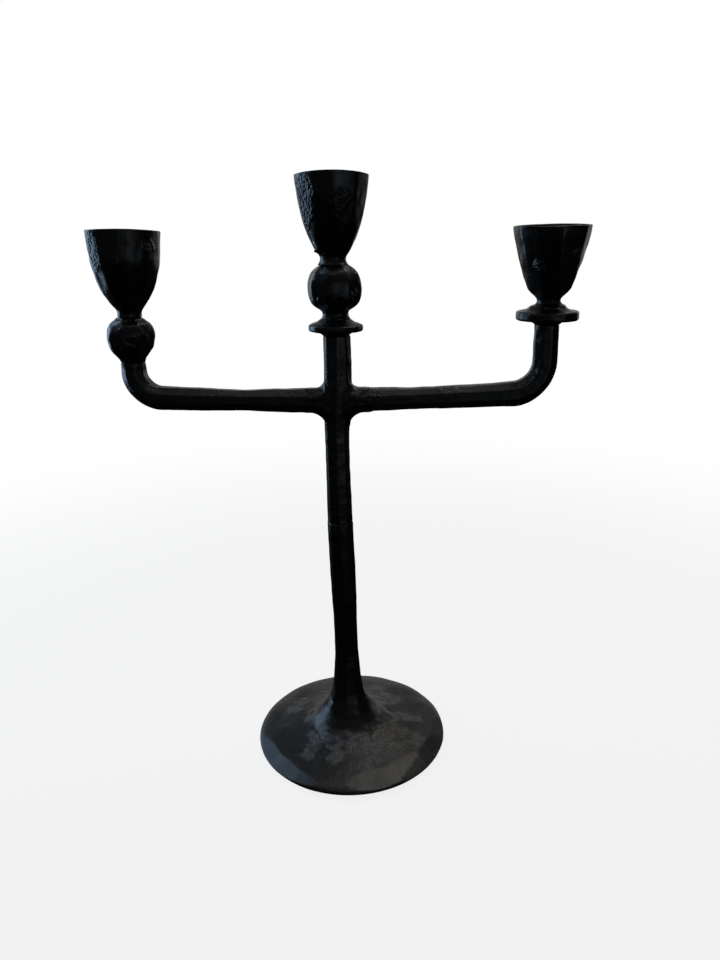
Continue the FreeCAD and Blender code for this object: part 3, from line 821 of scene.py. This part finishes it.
cupLook = {
    "sides": 280, "wall": 2.2, "socketRadius": 11.4, "socketFloor": 12.5, "ledge": 25.5,
    "pocketRadius": 6.3, "pocketDeep": 5.0,
    "skin": {"waveSize": 9, "dent": 0.13, "dentSize": 4.6, "patchSize": 9, "patchBias": -0.7,
             "grain": 0.105, "grainSize": 1.3, "pits": 0.0},
    "tool": {"jitter": 4, "wobble": 2, "wave": 14, "pitch": 18, "dish": 0.012, "uneven": 0.008,
             "soft": 0.015},
    # the rim arches: it drops by drop mm at the sides of the angle front, and tilt raises its back
    "left": {
        "x": leftX, "node": "left_cup", "high": 48.5, "lean": (2.2, -0.2), "wave": 0.25, "flute": 0.16,
        "offset": 0.0, "seed": 3, "front": 20, "drop": 0.8, "tilt": 0.0,
        "outer": [(6.9, 0.3), (6.8, 2.2), (7.3, 4.1), (8.4, 5.6), (11.15, 8.9), (13.4, 12.3), (15.2, 15.6),
                  (16.6, 19.0), (17.75, 22.3), (18.6, 25.7), (19.15, 29.0), (19.6, 32.3), (20.2, 38.0),
                  (20.55, 43.0), (20.75, 47.7)],
        "flats": {"count": 10, "first": -38, "rim": 20.65, "end": 18.6, "endZ": 27.0, "bow": 0.0, "jitter": 4,
                  "uneven": (-0.2, 0.15)},
        "lower": {"count": 10, "first": -30, "bite": 0.965, "span": (0.004, 0.030, 0.006)},
        "grainy": [(-44, 20.0, 40, 8.0), (-40, 19.0, 33, 7.0), (2, 20.3, 32, 3.0), (62, 20, 40, 4)],
    },
    "center": {
        "x": 0.0, "node": "center_cup", "high": 47.65, "lean": (0.9, 0.1), "wave": 0.22, "flute": 0.08,
        "offset": -0.2, "seed": 13, "front": 4.8, "drop": 0.95, "tilt": 0.0,
        "outer": [(8.9, 0.25), (8.1, 1.1), (7.4, 2.4), (7.3, 3.8), (7.8, 5.2), (9.5, 7.3), (11.5, 10.4),
                  (13.25, 13.5), (14.75, 16.6), (16.05, 19.7), (17.25, 22.8), (18.15, 25.9), (18.95, 29.0),
                  (19.6, 32.1), (20.2, 35.2), (20.75, 38.8), (21.05, 42.0), (21.25, 46.9)],
        "flats": {"count": 10, "first": -44, "rim": 20.85, "end": 16.4, "endZ": 21.0, "bow": -0.33,
                  "jitter": 3, "uneven": (-0.15, 0.2)},
        "lower": {"count": 10, "first": -26, "bite": 0.965, "span": (0.005, 0.025, 0.006)},
        "grainy": [(-48, 18.5, 38, 9.0), (-50, 17.5, 29, 7.0), (20, 18.8, 33, 6.0), (-62, 15, 22, 5)],
        # angle from the front, mm out, height, how far it stands out, and how wide it is
        "burr": (-72, 9.6, 7.0, 1.7, 1.0), "chip": (-55, 11.2, 10.8, 0.6, 1.1),
    },
    "right": {
        "x": rightX, "node": "right_cup", "high": 43.1, "lean": (-0.2, -0.2), "wave": 0.22, "flute": 0.08,
        "offset": -0.1, "seed": 17, "front": -11.5, "drop": 0.25, "tilt": 2.6,
        "outer": [(9.6, 0.2), (8.2, 0.7), (7.1, 1.5), (6.6, 2.7), (6.9, 3.9), (7.9, 5.1), (10.3, 7.2),
                  (12.1, 9.3), (13.1, 11.5), (14.85, 15.8), (16.2, 20.1), (17.55, 24.4), (18.85, 28.6),
                  (20.05, 33.2), (20.8, 37.2), (21.3, 42.6)],
        "flats": {"count": 10, "first": -46, "rim": 20.9, "end": 16.25, "endZ": 21.0, "bow": -0.1,
                  "jitter": 3, "uneven": (-0.2, 0.2)},
        "lower": {"count": 9, "first": -8, "bite": 0.962, "span": (0.004, 0.024, 0.006)},
        "grainy": [(-34, 17.5, 22, 3.5), (40, 17.5, 28, 3.0)],
    },
}


def makeCup(size, pieceName):
    look = cupLook
    high, outer = size["high"], size["outer"]
    rim, wall = outer[-1][0], look["wall"]
    floor, ledge, socket = look["socketFloor"], look["ledge"], look["socketRadius"]
    pocket, pocketFloor = look["pocketRadius"], floor - look["pocketDeep"]
    mesh = turnBlank([
        (0.8, [(clearHole, 0), (outer[0][0] - 0.3, 0)]),
        (0.2, [(outer[0][0] - 0.3, 0), outer[0]]),
        (0.42, outer),
        (0.2, [outer[-1], (rim - 0.12, high - 0.22), (rim - 0.5, high - 0.03), (rim - 1.2, high),
               (rim - wall + 0.3, high - 0.2), (rim - wall - 0.05, high - 0.8)]),
        (0.75, [(rim - wall - 0.05, high - 0.8), (rim - wall - 0.9, high - 8),
                (0.92 * rim - wall - 1.5, ledge + 4.6), (socket + 1.5, ledge + 1.1),
                (socket + 0.5, ledge + 0.1), (socket, ledge - 0.6)]),
        (0.9, [(socket, ledge - 0.6), (socket, floor)]),
        (0.9, [(socket, floor), (pocket, floor)]),
        (0.9, [(pocket, floor), (pocket, pocketFloor)]),
        (0.9, [(pocket, pocketFloor), (clearHole, pocketFloor)]),
        (1.0, [(clearHole, pocketFloor), (clearHole, 0)]),
    ], look["sides"])
    points = readPoints(mesh)
    normals = readPoints(mesh, normals=True)
    outward = normals[:, 0] * points[:, 0] + normals[:, 1] * points[:, 1] > 0
    z = points[:, 2] / mm
    onWall = outward & (z > 0.2) | (z > high - 1)
    struck = hammerSides(points, {**look["tool"], **size["lower"], "seed": size["seed"]})
    flats = size["flats"]
    draw = np.random.default_rng(flats["count"] + size["seed"])
    topZ = high - 1
    slope = math.atan2(flats["rim"] - flats["end"], topZ - flats["endZ"])
    for i in range(flats["count"]):
        out = facing(flats["first"] + i * 360 / flats["count"] + draw.uniform(-1, 1) * flats["jitter"])
        away = out * math.cos(slope) - Vector((0, 0, math.sin(slope) * draw.uniform(0.9, 1.1)))
        deep = (flats["rim"] + flats["end"]) / 2 + draw.uniform(*flats["uneven"])
        struck = strike(struck, out * deep * mm + Vector((0, 0, (topZ + flats["endZ"]) / 2 * mm)), away,
                        bow=flats["bow"], soft=0.55)
    points = np.where(onWall[:, None], struck, points)
    patches = [(spot(angle, out, level), across) for angle, out, level, across in size["grainy"]]
    # the inside of the wall is smoother, and so is the rim's edge
    share = np.where(onWall, fade(z, 0.3, 1.2), 0.4 * fade(z, ledge + 0.6, ledge + 4) * ~outward)
    share = share * (1 - 0.8 * fade(z, high - 1.0, high - 0.3))
    skin = {**look["skin"], "shift": (0.4, 0.1, 30 * size["x"]), "wave": size["wave"],
            "flute": size["flute"], "patches": patches}
    points = castSkin(mesh, points, skin, share)
    rise = fade(points[:, 2], ledge * mm, high * mm)
    around = np.arctan2(points[:, 0], -points[:, 1]) - math.radians(size["front"])
    arch = math.tan(math.radians(size["tilt"])) * points[:, 1] - size["drop"] * mm * np.sin(around) ** 2
    points[:, 2] += rise * arch
    if "burr" in size:
        angle, out, level, tall, across = size["burr"]
        away = np.linalg.norm(points - np.array(spot(angle, out, level)), axis=1) / (across * mm)
        points += np.array(facing(angle)) * (tall * mm * np.exp(-away ** 2) * onWall)[:, None]
        angle, out, level, tall, across = size["chip"]
        away = (points - np.array(spot(angle, out, level))) / mm
        bare = np.exp(-(outOfAxis(away) / across) ** 2 - (away[:, 2] / (2 * across)) ** 2) * onWall
        points += np.array(facing(angle)) * (tall * mm * bare)[:, None]
        store(mesh, "bare", bare)
    points = settle(points, (size["x"] + size["offset"] * mm, 0, seat(size["node"])), size["lean"])
    return finishPiece(pieceName, mesh, points, cupPaint, size["node"])


makeFoot()
makeFelt()
makeLowerStem()
makeUpperStem()
makeArm("left_arm", armLook["left"], "left_bent_arm")
makeArm("right_arm", armLook["right"], "right_bent_arm")
makeWeld("left_arm_weld", weldLook["left"], "left_weld_fillet")
makeWeld("right_arm_weld", weldLook["right"], "right_weld_fillet")
makeDisc("center_disc", discLook["center"], "center_drip_disc")
makeDisc("right_disc", discLook["right"], "right_drip_disc")
makeCenterKnop()
makeLeftKnop()
makeCup(cupLook["left"], "left_tulip_cup")
makeCup(cupLook["center"], "center_tulip_cup")
makeCup(cupLook["right"], "right_tulip_cup")

# what is left of the CAD model is the hidden fasteners
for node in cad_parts.values():
    if not node.hide_render:
        node.data.materials.clear()
        node.data.materials.append(zinc)
print("pieces ready")


studio = {
    "floor": 0.9, "floorSize": 30.0, "glow": 0.84, "fadeFrom": 0.3, "fadeTo": 0.9, "white": 1.0,
    # the world that the paint mirrors: its strength above and below, and that of three brighter parts
    "ambientUp": 0.06, "ambientDown": 0.006, "behind": 0.6, "room": 0.16, "overhead": 0.3,
    "ambientTint": (1.0, 0.985, 0.96, 1), "roomTint": (0.66, 0.84, 1.0, 1),
    "lights": {
        "window": {"at": (-1.1, 0.45, 0.8), "aim": (0, 0, 0.8), "size": (0.7, 1.8), "watts": 9.5,
                   "color": (0.48, 0.71, 1.0)},
        "ceiling": {"at": (0.5, 0.5, 1.6), "aim": (0, 0, 0.1), "size": (0.9, 0.9), "watts": 5.2,
                    "color": (1.0, 0.96, 0.9)},
        "backWall": {"at": (0.2, 1.9, 1.25), "aim": (0, 0, 0.1), "size": (2.4, 1.0), "watts": 0.75,
                     "color": (1.0, 0.98, 0.95)},
        "lamp": {"at": (0.62, -0.72, 0.16), "aim": (0, 0, 0.22), "size": (0.22, 0.4), "watts": 0.1,
                 "color": (0.75, 0.86, 1.0)},
    },
    "camera": {"at": (0.0354, -0.4224, 0.3241), "heading": -3.16, "down": 18.11, "roll": 1.40, "lens": 27.04},
}


def makeFloor():
    bm = bmesh.new()
    bmesh.ops.create_circle(bm, cap_ends=True, segments=96, radius=studio["floorSize"])
    mesh = bpy.data.meshes.new("floor")
    bm.to_mesh(mesh)
    bm.free()
    floor = bpy.data.objects.new("floor", mesh)
    scene.collection.objects.link(floor)
    material, wire = startMaterial("paleFloor")
    place = wire.add("ShaderNodeTexCoord", out=3)
    distance = wire.add("ShaderNodeVectorMath", {"operation": "LENGTH"}, {0: place}, out=1)
    pale = studio["floor"]
    near = wire.add("ShaderNodeBsdfDiffuse", None, {"Color": (pale, pale, pale, 1)})
    far = wire.add("ShaderNodeEmission", None, {"Color": (1, 1, 1, 1), "Strength": studio["white"]})
    share = distance.rise(studio["fadeFrom"], studio["fadeTo"]) * (1 - studio["glow"]) + studio["glow"]
    mixed = wire.add("ShaderNodeMixShader", None, {0: share, 1: near, 2: far})
    wire.add("ShaderNodeOutputMaterial", None, {"Surface": mixed})
    mesh.materials.append(material)
    floor.visible_diffuse = False
    floor.visible_glossy = False
    floor.visible_shadow = False


def makeLights():
    for name, look in studio["lights"].items():
        light = bpy.data.lights.new(name, "AREA")
        light.shape = "RECTANGLE"
        light.size, light.size_y = look["size"]
        light.energy = look["watts"]
        light.color = look["color"]
        lamp = bpy.data.objects.new(name, light)
        scene.collection.objects.link(lamp)
        lamp.location = look["at"]
        toward = Vector(look["aim"]) - Vector(look["at"])
        lamp.rotation_euler = toward.to_track_quat("-Z", "Y").to_euler()
        lamp.visible_camera = False


def makeWorld():
    world = bpy.data.worlds.new("studio")
    scene.world = world
    world.use_nodes = True
    world.node_tree.nodes.clear()
    wire = Wire(world.node_tree)
    direction = wire.add("ShaderNodeTexCoord", out=0)
    side, depth, height = (wire.add("ShaderNodeSeparateXYZ", None, {"Vector": direction}, out=axis)
                           for axis in range(3))
    up, down = studio["ambientUp"], studio["ambientDown"]
    strength = height.rise(-0.15, 0.75) * (up - down) + down
    # a pale wall low down behind the piece, the dim room in front of it, and the ceiling
    behind = depth.rise(0.45, 0.95) * height.rise(-0.25, -0.02) * (1 - height.rise(0.15, 0.42))
    room = (0 - depth).rise(0.2, 0.8) * height.rise(-0.36, -0.12) * (1 - height.rise(0.1, 0.4))
    room = room * (side.rise(-0.3, 0.4) * 0.75 + 0.25)
    strength = strength + behind * studio["behind"] + room * studio["room"]
    strength = strength + height.rise(0.78, 0.97) * studio["overhead"]
    tint = room.between(studio["ambientTint"], studio["roomTint"])
    dim = wire.add("ShaderNodeBackground", None, {"Color": tint, "Strength": strength})
    white = wire.add("ShaderNodeBackground", None, {"Color": (1, 1, 1, 1), "Strength": studio["white"]})
    seen = wire.add("ShaderNodeLightPath", out=0)
    mixed = wire.add("ShaderNodeMixShader", None, {0: seen, 1: dim, 2: white})
    wire.add("ShaderNodeOutputWorld", None, {"Surface": mixed})


def makeCamera():
    look = studio["camera"]
    heading, down, roll = (math.radians(look[key]) for key in ("heading", "down", "roll"))
    forward = Vector((math.sin(heading) * math.cos(down), math.cos(heading) * math.cos(down),
                      -math.sin(down)))
    level = Vector((math.cos(heading), -math.sin(heading), 0))
    up = level.cross(forward)
    right = math.cos(roll) * level - math.sin(roll) * up
    up = math.sin(roll) * level + math.cos(roll) * up
    camera = bpy.data.objects.new("camera", bpy.data.cameras.new("camera"))
    scene.collection.objects.link(camera)
    camera.matrix_world = Matrix((right, up, -forward)).transposed().to_4x4()
    camera.location = look["at"]
    camera.data.lens = look["lens"]
    camera.data.sensor_width = 36
    camera.data.clip_start = 0.01
    scene.camera = camera


makeFloor()
makeLights()
makeWorld()
makeCamera()
scene.view_settings.view_transform = "Standard"
print("studio ready")
